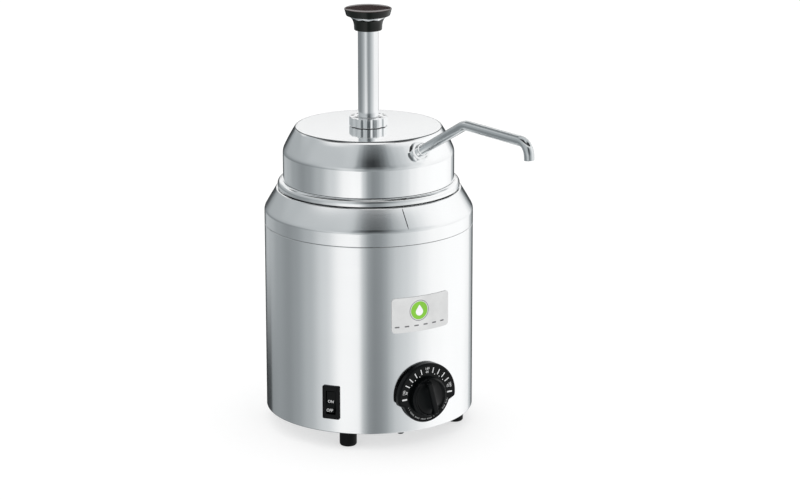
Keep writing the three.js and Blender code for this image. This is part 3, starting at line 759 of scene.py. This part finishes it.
NUMBERED = {1: ("100", "38"), 6: ("150", "66"), 11: ("200", "93")}
scale = []
for k in range(13):
    angle = 180 - 15 * k
    if k in NUMBERED:
        for text, outward in zip(NUMBERED[k], (1.7, -1.6)):
            scale.append(printed_text(text, angle, SCALE_R + outward, 2.5))
    else:
        scale.append(printed_box(angle, SCALE_R, 5.8, 1.6 if k in (0, 12) else 1.0))
    if k < 12 and k not in NUMBERED and k + 1 not in NUMBERED:
        scale.append(printed_box(angle - 7.5, 23.6, 0.9, 0.9))
piece("dial_scale", joined(*scale), dial, "white_plastic", "warmer", INK)
words = [printed_box(203 + 6 * k, 24.3, 1.3, 0.45) for k in range(5)]
small_print = [(217 + 3.6 * k, 24.8) for k in range(21)] + [(-41 + 3.6 * k, 25.5) for k in range(8)]
for k, (angle, r) in enumerate(small_print):
    if k % 5 != 4:
        words.append(printed_box(angle, r, 1.4, 0.6 + 0.4 * (k % 2)))
piece("dial_small_print", joined(*words), dial, "white_plastic", "warmer", SMALL_INK)

KNOB_BASE = DIAL_FACE + GAP
KNOB_R = 20.3
BAR_HALF = 2.6


def knob_height(u, v):
    """Height of the knob's face: a grip bar between two scooped petals, inside a low rim."""
    to_rim = KNOB_R - math.hypot(u, v)
    rim = 6.4 - 2.6 * (1 - smoothstep(-0.6, 2.2, to_rim))
    bar = 12 - 8 * smoothstep(16.8, 19.4, abs(v)) - 0.4 * smoothstep(BAR_HALF - 0.5, BAR_HALF, abs(u))
    if abs(u) <= BAR_HALF:
        return max(bar, 3.4)
    half = 16.2 * math.sqrt(max(0.0, 1 - (v / 19.0) ** 2))
    share = (abs(u) - BAR_HALF) / max(0.4, half - BAR_HALF)
    foot = 9.4 - 4.4 * smoothstep(9, 19, abs(v))
    scoop = 5.0 + (foot - 5.0) * max(0.0, 1 - share) ** 1.8
    inside = 1 - smoothstep(0.94, 1.05, share)
    return min(rim, 6.4) * (1 - inside) + scoop * inside


knob_columns = [-KNOB_R, -20.1, -19.7, -19.2]
knob_columns += [-18.6 + 0.75 * k for k in range(21)] + [-3.1, -2.85, -2.62, -2.55, -2.3, -1.4, -0.5]
knob_columns += [-u for u in knob_columns[::-1]]
knob_rows = [-1, -0.985, -0.965, -0.94, -0.91, -0.88, -0.85, -0.82]
knob_rows += [-0.78 + 0.06 * k for k in range(27)] + [-t for t in knob_rows[::-1]]
knob_turned = dial @ Matrix.Rotation(math.radians(14), 4, "Z")
knob_shape = plate(
    knob_columns,
    lambda u: math.sqrt(max(0.0, KNOB_R**2 - u**2)),
    knob_rows,
    knob_height,
    lambda u, v: 0.0,
    lambda u, v, h: (u, v, KNOB_BASE + h),
)
stand_in("thermostat_knob", knob_shape, knob_turned, "black_plastic", sharp=40)

# rocker switch
switch = facing(SWITCH_TURN, SWITCH_Z)
BEZEL_FACE = WALL + 2
body_ring = rectangle(12.8, 29.6, 0.5)
bezel_ring = rectangle(18.6, 35.5, 1.5)
pocket_ring = rectangle(10.3, 24.8, 0.8)
switch_rings = [ring(body_ring, 88), ring(body_ring, WALL), ring(bezel_ring, WALL)]
for down, inward in ((0.9, 0), (0.45, 0.12), (0.12, 0.45), (0, 0.9), (0, 2.2)):
    switch_rings.append(ring(bezel_ring, BEZEL_FACE - down, inward))
for down, outward in ((0, 0.5), (0.15, 0.15), (0.5, 0), (6, 0), (11.8, 0)):
    switch_rings.append(ring(pocket_ring, BEZEL_FACE - down, -outward))
stand_in("switch_housing", loft(switch_rings), switch, "black_plastic")

rocker_frame = (
    switch @ Matrix.Translation((0, 0, BEZEL_FACE - 5.5)) @ Matrix.Rotation(math.radians(-12), 4, "X")
)
rocker_line = bent([
    (10.9, 1),
    (10.9, 6.5, 0.6),
    (0, 4.6, 6),
    (-10.9, 6.5, 0.6),
    (-10.9, 1, 0.6),
    (-4, -3.5),
    (4, -3.5),
], 5)
rocker_rings = []
for x, inward in ((-4.8, 0.35), (-4.7, 0.1), (-4.45, 0), (4.45, 0), (4.7, 0.1), (4.8, 0.35)):
    rocker_rings.append([(x, p.x, p.y) for p in inset(rocker_line, inward)])
stand_in("switch_rocker", loft(rocker_rings), rocker_frame, "black_plastic")
rise = math.atan2(1.9, 10.9)  # slope of the rocker's two faces
for text, v, tilt in (("ON", 0, 0), ("OFF", -8.9, -rise)):
    face = 4.6 + max(1.2, abs(v)) * math.tan(rise) + 0.06
    spot = Matrix.Translation((0, v, face)) @ Matrix.Rotation(tilt, 4, "X")
    shape = lettering(text, 2.9, 0.2)
    piece(f"switch_{text.lower()}", shape, rocker_frame @ spot, "white_plastic", "rocker", INK)

# food jar
jar_line = bent([(87.3, 261.6), (79, 261.6, 3), (79, 96, 12), (0, 96)])
stand_in("food_jar", sheet(jar_line), AXIS, "brushed_shell")


# lid
NECK_R = 14.9
LID_SHOULDER = Vector((89, 291.8))
LID_CONE_TOP = Vector((77.35, 314))
LID_EDGE = (75.7, LID_TOP_Z, 2.4)
cone_rows = [crowned(LID_SHOULDER, LID_CONE_TOP, 0.42, 0.19 + 0.085 * k) for k in range(9)]
lid_line = bent(
    [(89, 260.6), (*LID_SHOULDER, 14)]
    + [tuple(point) for point in cone_rows]
    + [(*LID_CONE_TOP, 8), LID_EDGE, (NECK_R + GAP, LID_TOP_Z)]
)
outlet_hole = (SPOUT_TURN, 3, cone_rows[0].y, cone_rows[6].y, 6.5)
stand_in("pump_lid", sheet(lid_line, [outlet_hole]), AXIS, "polished_steel")

# a dark ring of painted shade where the flat top turns down, standing in for the shade in a groove
EDGE_CENTRE = Vector((74.47, LID_TOP_Z - 2.4))
edge_outline = [EDGE_CENTRE + unit(angle) * 2.44 for angle in range(42, 67, 4)]
edge_outline += [EDGE_CENTRE + unit(angle) * 2.2 for angle in range(66, 41, -4)]
piece("lid_edge_painted_shade", turned(edge_outline, FINE), AXIS, "polished_steel", "lid", PAINTED_EDGE_SHADE)


def fluted(radius, flutes, depth, share):
    """Outline of a nut with round grooves; share is how much of each step the groove takes."""

    def flute_radius(angle):
        step = 360 / flutes
        across = abs((angle % step) / step - 0.5) * 2 / share
        return radius - (depth * math.sqrt(max(0.0, 1 - across**2)) if across < 1 else 0)

    return polar(flute_radius, flutes * 14)


def nut(outline, bore_rings, low, high, edge):
    """A nut with softened upper and lower edges; its bore is given from the top down."""
    levels = [(0, edge), (0.3 * edge, 0.3 * edge), (edge, 0)]
    rings = [ring(outline, low + up, inward) for up, inward in levels]
    rings += [ring(outline, high - down, inward) for down, inward in levels[::-1]]
    rings += [ring(circle(radius, len(outline)), z) for radius, z in bore_rings]
    return loft(rings, closed=True)


LOCK_LOW_Z, LOCK_HIGH_Z = LID_TOP_Z + GAP, 326
lock_bore = [(13.2, LOCK_HIGH_Z), (12.4, 325.6), (12.1, 325.4), (12.1, 324)]
lock_bore += [(NECK_R + GAP, 324), (NECK_R + GAP, LOCK_LOW_Z)]
locking_nut = nut(fluted(19.8, 12, 1.2, 0.46), lock_bore, LOCK_LOW_Z, LOCK_HIGH_Z, 0.9)
stand_in("locking_nut", locking_nut, AXIS, "polished_steel")
bushing_line = bent([(STEM_R + GAP, 321), (13.6, 321), (13.6, 323.7), (11.8, 323.7), (11.8, 326.4, 0.3),
                     (STEM_R + GAP, 326.4)], 4)
stand_in("stem_bushing", turned(bushing_line), AXIS, "pump_steel")

# pump below the lid
cylinder_line = [(17, 130), (17, 309), (21, 312), (21, 315), (NECK_R, 315), (NECK_R, 323.7), (13.9, 323.7),
                 (13.9, 320.7), (11.5, 320.7), (11.5, 311), (16, 308), (16, 130)]
stand_in("pump_cylinder", turned(cylinder_line), AXIS, "pump_steel")
valve_line = bent([(4, 104), (18, 104, 0.6), (20.5, 106.5, 1), (20.5, 140, 0.8), (17.3, 140), (17.3, 129.7),
                   (3.5, 129.7), (3.5, 122), (6.3, 122), (6.3, 112.3), (4, 110)], 3)
chest_line = bent([(0, 118), (7.6, 118, 1.2), (7.6, 152, 0.8), (5, 152), (5, 133), (0, 133)], 4)
valve_core = turned(valve_line)
valve_chest = moved(turned(chest_line, SMALL), Matrix.Translation((0, -27, 0)))
web = moved(slab(rectangle(9, 9, 1), 118, 126), Matrix.Translation((0, -20.5, 0)))
stand_in("valve_body", joined(valve_core, valve_chest, web), SPOUT_PLANE, "pump_steel")
for ball, radius, spot in (("inlet_check_ball", 5, at(0, 0, 113.45)),
                           ("outlet_check_ball", 4.2, SPOUT_PLANE @ Matrix.Translation((0, -27, 134)))):
    half_circle = [around(radius, angle) for angle in range(0, 181, 9)]
    stand_in(ball, turned(half_circle, SMALL), spot, "pump_steel")


def along_outlet(s):
    return OUTLET_AT + unit(SPOUT_RISE) * s


def in_spout_plane(line):
    return [Vector((0, -p.x, p.y)) for p in line]


riser_top = OUTLET_AT.y - (OUTLET_AT.x - 27) * math.tan(math.radians(SPOUT_RISE))
riser_line = bent([(27, 144), (27, riser_top, 25), tuple(along_outlet(-6.5))], 14)
stand_in("riser_tube", tube(in_spout_plane(riser_line), 4.7, 3.7, 32), SPOUT_PLANE, "tube_steel")

# outlet through the cone, and the spout
NUT_LEAD = -5  # degrees that the hexagon is turned about its own axis
NUT_END = 14.5
FERRULE_END = 19.8
fitting_line = bent([
    (5, -14), (6.2, -14, 0.4), (6.2, -5.1), (8.6, -5.1), (8.6, -3.1),
    (6.2, -3.1), (6.2, NUT_END), (3.7, NUT_END), (3.7, -6.2), (5, -6.2),
], 3)
fitting = stand_in("outlet_fitting", turned(fitting_line, SMALL), OUTLET, "pump_steel")


def hexagonal(across, limit):
    """A hexagon given by its centre-to-flat distance, its corners turned down to a limit."""

    def side_radius(angle):
        from_flat = (angle - NUT_LEAD) % 60 - 30
        return min(across / math.cos(math.radians(from_flat)), limit)

    return polar(side_radius, 144)


nut_sides = [(0.8, 7.3, 7.4), (1.2, 7.6, 7.8), (3, 8.4, 8.8), (6, 9.1, 9.8), (9, 9.4, 10.6)]
nut_sides += [(11, 9.4, 10.8), (13.3, 9.5, 10.8), (14, 9.5, 10.2), (14.3, 9.4, 9.9), (NUT_END, 9.2, 9.6)]
nut_rings = [ring(hexagonal(across, limit), z) for z, across, limit in nut_sides]
nut_recess = ((8.1, NUT_END), (7.9, 14.3), (7.8, 13.4), (6.5, 13.4), (6.5, 0.8))
nut_rings += [ring(circle(radius, 144), z) for radius, z in nut_recess]
outlet_nut = stand_in("outlet_nut", loft(nut_rings, closed=True), OUTLET, "polished_steel")
ferrule_line = bent([
    (5.05, NUT_END + GAP), (7, NUT_END + GAP, 0.3), (7, FERRULE_END, 0.7),
    (5.4, FERRULE_END, 0.25), (5.05, FERRULE_END - 0.5),
], 5)
ferrule = stand_in("spout_ferrule", turned(ferrule_line, MEDIUM), OUTLET, "polished_steel")
spout_line = bent([
    tuple(along_outlet(NUT_END + GAP)),
    (174.0, 349.4, 22),
    (279.65, 351.75, 13),
    (281.1, 335.4),
], 18)
spout = stand_in("spout_tube", tube(in_spout_plane(spout_line), 5, 4, 48), SPOUT_PLANE, "tube_steel")
for mirrored in (fitting, outlet_nut, ferrule, spout):
    mirrored.visible_glossy = False  # the cone beside them stays plain

# plunger: knob and stem
neck_line = [(0, 430.2), (0, 428), (STEM_R + GAP, 428), (STEM_R + GAP, 416.8), (13.6, 416.8), (14.1, 416.95),
             (14.4, 417.4), (14.45, 419), (14.6, 421.5), (14.9, 423.6), (15.3, 425.2), (15.9, 426.9),
             (16.7, 428.4), (17.4, 429.4), (18, 430.2)]
stand_in("knob_neck", turned(neck_line), AXIS, "knob_plastic", sharp=40)
DOME_TOP_Z = 439.5
DOME_EDGE_R = 24
DOME_EDGE_SLOPE = math.radians(3)
DOME_POWER = 4.5


def on_dome(r):
    """A point on the knob's top, which is nearly flat and falls away faster towards its edge."""
    drop = DOME_EDGE_SLOPE * DOME_EDGE_R / (DOME_POWER + 1) * (r / DOME_EDGE_R) ** (DOME_POWER + 1)
    return r, DOME_TOP_Z - drop


cap_line = bent([(0, 430.5), (18.4, 430.5), (22.6, 432.1, 1.5), (24.5, 438.9, 0.3), on_dome(23.6)]) + [
    Vector(on_dome(r)) for r in (23, 22, 21, 20, 19, 18, 17, 16, 15, 14, 12, 10, 7, 4, 0)
]
stand_in("knob_cap", turned(cap_line), AXIS, "knob_plastic", sharp=40)
TRIM_SIDES, TRIM_WAVES = 120, 9
trim_line = [(17, 430.45, 0), (18, 430.45, 0), (18, 430, 0), (17.3, 429.3, 0.35), (16.6, 428.9, 0.6)]
trim_rings = []
for r, z, depth in trim_line:
    turns = [360 * k / TRIM_SIDES for k in range(TRIM_SIDES)]
    waves = [0.5 + 0.5 * math.sin(math.radians(TRIM_WAVES * turn)) for turn in turns]
    trim_rings.append([(*around(r, turn), z - depth * wave) for turn, wave in zip(turns, waves)])
piece("knob_trim", loft(trim_rings, closed=True), AXIS, "polished_steel", "plunger")
stem_line = [(9.4, 247.3), (STEM_R, 247.3), (STEM_R, 427.7), (9.4, 427.7)]
stand_in("plunger_tube", turned(stem_line), AXIS, "polished_steel")

# return spring: it rides on the lid; in the real pump it shortens as the plunger goes down
SPRING_LOW, SPRING_HIGH, SPRING_TURNS, SPRING_STEPS = 131.2, 230.8, 8, 28
helix = []
for k in range(SPRING_TURNS * SPRING_STEPS + 1):
    z = SPRING_LOW + (SPRING_HIGH - SPRING_LOW) * k / (SPRING_TURNS * SPRING_STEPS)
    helix.append(Vector((*unit(360 * k / SPRING_STEPS) * 12.8, z)))
wire = circle(1.1, 10)
coil = swept(helix, lambda i: wire, lambda point, ahead: Vector((point.x, point.y, 0)))
spring = stand_in("return_spring", coil, AXIS, "pump_steel")
spring.modifiers.clear()
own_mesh(spring)

# CAD nodes that stay as they are, hidden inside, get their finishes too
KEPT = {
    "zinc_plate": ["element_clamp", "clamp_nut", "thermostat_spindle", "seal_washer", "piston_nut"]
    + [f"foot_screw_{where}" for where in FEET],
    "heater_metal": ["heat_spreader", "heating_element"],
    "brass": ["thermostat_bulb", "capillary_tube"],
    "white_plastic": [
        "high_limit_cutout", "terminal_block", "thermostat_body", "outlet_gasket", "piston_head"
    ],
    "black_plastic": ["gland_nut"],
    "rubber": ["piston_seal"],
}
for slot, names in KEPT.items():
    for name in names:
        kept = frame["nodes"][name]
        kept.data.materials.clear()
        kept.data.materials.append(LOOKS[slot])

# ---------------------------------------------------------------- camera
CAMERA_TURN = -30
CAMERA_RISE = 14.89
CAMERA_AWAY = 2.9277
target = Vector((0, AXIS_Y, 0.2113))
rise_angle = math.radians(CAMERA_RISE)
back = Vector((*around(math.cos(rise_angle), CAMERA_TURN), math.sin(rise_angle)))
camera = bpy.data.objects.new("camera", bpy.data.cameras.new("camera"))
camera.data.sensor_width = 36
camera.data.lens = 126
camera.data.clip_end = 100
aim = Matrix.Rotation(math.radians(-0.637), 4, "Y") @ Matrix.Rotation(math.radians(-0.512), 4, "X")
roll = Matrix.Rotation(math.radians(-0.2), 4, "Z")
looking = (-back).to_track_quat("-Z", "Y").to_matrix().to_4x4()
camera.matrix_world = Matrix.Translation(target + back * CAMERA_AWAY) @ looking @ aim @ roll
scene.collection.objects.link(camera)
scene.camera = camera

# ---------------------------------------------------------------- floor and studio light
floor_mesh = bpy.data.meshes.new("floor")
floor_mesh.from_pydata([(-40, -40, 0), (40, -40, 0), (40, 40, 0), (-40, 40, 0)], [], [(0, 1, 2, 3)])
floor_look = Surface("floor", (0.45, 0.45, 0.45), 0.9, specular=0.0)
floor_look.put(floor_look.shader, {"Emission Color": (1, 1, 1, 1), "Emission Strength": 0.58})
floor_look.vary_colour(floor_look.noise(3), 1.0, 1.01)
floor_mesh.materials.append(floor_look.material)
floor = bpy.data.objects.new("floor", floor_mesh)
scene.collection.objects.link(floor)
floor.visible_glossy = False

# What the steel reflects: soft white and dark panels round the set. Each band of them has a height
# (the sine of its elevation) and brightnesses by degrees to the right of the camera.
FLOOR_BAND = [
    (-180, 0.03), (-144, 0.05), (-138, 0.28), (-120, 0.3), (-100, 0.27), (-88, 0.32), (-70, 0.45),
    (-50, 0.68), (-30, 0.99), (-20, 0.97), (-12, 0.95), (-6, 0.45), (0, 0.27), (6, 0.235), (12, 0.26),
    (18, 0.33), (24, 0.47), (30, 0.6), (40, 0.68), (52, 0.79), (60, 0.91), (76, 1.02), (100, 1.06),
    (124, 1.05), (144, 0.93), (151, 0.58), (157, 0.45), (162, 0.1), (180, 0.04),
]
WALL_BAND = [
    (-180, 0.04), (-164, 0.08), (-158, 0.45), (-150, 0.5), (-136, 0.45), (-120, 0.355), (-100, 0.285),
    (-88, 0.32), (-70, 0.45), (-50, 0.69), (-30, 1.0), (-20, 1.05), (-12, 1.05), (-6, 0.62),
    (0, 0.34), (6, 0.265), (12, 0.29), (18, 0.375), (24, 0.5), (30, 0.6), (40, 0.67), (52, 0.79),
    (60, 0.93), (76, 1.02), (100, 1.07), (124, 1.07), (144, 0.99), (151, 0.55), (157, 0.45),
    (162, 0.08), (180, 0.04),
]
STEM_BAND = [
    (-180, 0.04), (-164, 0.06), (-156, 0.25), (-120, 0.22), (-95, 0.22), (-70, 0.31), (-50, 0.42),
    (-32, 0.66), (-22, 0.68), (-12, 0.4), (0, 0.31), (12, 0.33), (24, 0.42), (40, 0.56), (60, 0.74),
    (76, 0.96), (100, 0.95), (124, 0.98), (146, 0.95), (156, 0.4), (162, 0.08), (180, 0.04),
]
LEVEL_BAND = [
    (-180, 0.04), (-158, 0.06), (-151, 0.3), (-137, 0.4), (-115, 0.4), (-85, 0.42), (-50, 0.6),
    (-30, 0.75), (-14, 0.6), (0, 0.22), (14, 0.2), (28, 0.4), (45, 0.62), (66, 0.85), (85, 1.0),
    (137, 1.02), (147, 0.75), (155, 0.35), (160, 0.06), (180, 0.04),
]
PLATE_BAND = [
    (-180, 1.0), (-164, 0.95), (-148, 0.5), (-135, 0.43), (-121, 0.43), (-103, 0.45), (-85, 0.5),
    (-45, 0.55), (-23, 0.54), (-14, 0.3), (0, 0.1), (14, 0.12), (28, 0.3), (45, 0.54), (66, 0.78),
    (85, 1.0), (103, 1.05), (150, 1.02), (180, 1.0),
]
CONE_BAND = [
    (-180, 0.95), (-165, 0.9), (-130, 0.97), (-119, 0.55), (-103, 0.49), (-85, 0.53), (-66, 0.54),
    (-45, 0.545), (-30, 0.57), (-22, 0.54), (-14, 0.27), (-7, 0.11), (0, 0.045), (7, 0.035),
    (14, 0.06), (21, 0.13), (28, 0.25), (34, 0.4), (45, 0.54), (56, 0.65), (66, 0.8), (76, 0.93),
    (85, 1.01), (103, 1.05), (165, 1.0), (180, 0.95),
]
HIGH_BAND = [
    (-180, 0.9), (-165, 0.9), (-130, 0.97), (-100, 0.6), (-66, 0.58), (-30, 0.6), (-20, 0.56),
    (-13, 0.4), (-6, 0.26), (0, 0.2), (8, 0.17), (15, 0.18), (22, 0.22), (28, 0.3), (34, 0.44),
    (45, 0.62), (56, 0.68), (66, 0.84), (80, 1.0), (165, 1.0), (180, 0.9),
]
BANDS = [(-0.306, FLOOR_BAND), (-0.268, WALL_BAND), (-0.235, WALL_BAND), (-0.205, STEM_BAND),
         (0.02, LEVEL_BAND), (0.19, PLATE_BAND), (0.28, PLATE_BAND), (0.42, CONE_BAND),
         (0.62, CONE_BAND), (0.745, HIGH_BAND)]
BACK_PANELS = [(0.06, 0.15, 0.95), (0.165, 0.2, 0.07)]  # straight behind: low, high, brightness
RING_LOW, RING_HIGH = 0.785, 0.86  # a bright ring overhead, which comes lower at the sides
RING_DIP = 0.22
RING_EDGE, PANEL_EDGE = 0.03, 0.008  # how softly they begin and end
RING_BAND = [
    (-180, 0.12), (-150, 0.2), (-110, 0.5), (-60, 1.0), (60, 1.0), (120, 0.95), (155, 0.4),
    (180, 0.12),
]
CEILING_BAND = [
    (-180, 0.7), (-130, 0.6), (-105, 0.06), (-90, 0.03), (90, 0.03), (105, 0.06), (130, 0.65),
    (180, 0.7),
]
CEILING_TOP = 0.7  # straight above

world = bpy.data.worlds.new("studio")
scene.world = world
world.use_nodes = True
studio = Graph(world.node_tree)
studio.nodes.clear()


def dot(vector, other):
    return studio.vector("DOT_PRODUCT", vector, other)["Value"]


def cool(value):
    """A grey that turns slightly blue-green as it gets darker."""
    dark = max(0.0, 1 - value)
    return value * (1 - 0.10 * dark), value, value * (1 + 0.05 * dark), 1


def ramp(position, stops):
    made = studio.node("ShaderNodeValToRGB", {0: position})
    made.color_ramp.interpolation = "EASE"
    elements = made.color_ramp.elements
    while len(elements) > 1:
        elements.remove(elements[0])
    elements[0].position, elements[0].color = stops[0][0], cool(stops[0][1])
    for place, value in stops[1:]:
        elements.new(place).color = cool(value)
    return made.outputs[0]


def panels(stops):
    return [((degrees + 180) / 360, value) for degrees, value in stops]


direction = studio.node("ShaderNodeTexCoord").outputs["Generated"]
to_camera = (*around(1, CAMERA_TURN), 0)
to_right = (*around(1, CAMERA_TURN + 90), 0)
bearing = studio.math("ARCTAN2", dot(direction, to_right), dot(direction, to_camera))
position = studio.math("ADD", studio.math("DIVIDE", bearing, 2 * math.pi), 0.5)
sine = dot(direction, (0, 0, 1))  # of the elevation


def rising(value, low, high, kind="SMOOTHSTEP"):
    """Goes from 0 to 1 as the value goes from low to high."""
    made = studio.node("ShaderNodeMapRange", {0: value, 1: low, 2: high}, interpolation_type=kind)
    return made.outputs[0]


reflected = ramp(position, panels(BANDS[0][1]))
for (below, _), (above, stops) in zip(BANDS, BANDS[1:]):
    band = ramp(position, panels(stops))
    reflected = studio.mix(rising(sine, below, above, "LINEAR"), reflected, band)
far_back = rising(studio.math("ABSOLUTE", bearing), math.radians(169), math.radians(174))
for low, high, value in BACK_PANELS:
    starts, ends = rising(sine, low - PANEL_EDGE, low), rising(sine, high, high + PANEL_EDGE)
    inside = studio.math("SUBTRACT", starts, ends)
    reflected = studio.mix(studio.math("MULTIPLY", inside, far_back), reflected, cool(value))
behind = studio.math("MINIMUM", studio.math("SUBTRACT", 1, studio.math("COSINE", bearing)), 1.2)
ring_height = studio.math("MULTIPLY_ADD", behind, RING_DIP, sine)
ring_band, ceiling_band = (ramp(position, panels(stops)) for stops in (RING_BAND, CEILING_BAND))
ceiling = studio.mix(rising(sine, 0.965, 0.99), ceiling_band, cool(CEILING_TOP))
reflected = studio.mix(rising(ring_height, RING_LOW - RING_EDGE, RING_LOW), reflected, ring_band)
reflected = studio.mix(rising(ring_height, RING_HIGH, RING_HIGH + RING_EDGE), reflected, ceiling)

plain = studio.node("ShaderNodeBackground", {"Color": (1, 1, 1, 1), "Strength": 1.08})
shaped = studio.node("ShaderNodeBackground", {"Color": reflected, "Strength": 1.0})
mirrored_ray = studio.node("ShaderNodeLightPath").outputs["Is Glossy Ray"]
choose = studio.node("ShaderNodeMixShader", {0: mirrored_ray, 1: plain.outputs[0], 2: shaped.outputs[0]})
studio.node("ShaderNodeOutputWorld", {"Surface": choose.outputs[0]})

scene.view_settings.view_transform = "Standard"
scene.view_settings.look = "None"
scene.view_settings.exposure = 0
scene.view_settings.gamma = 1
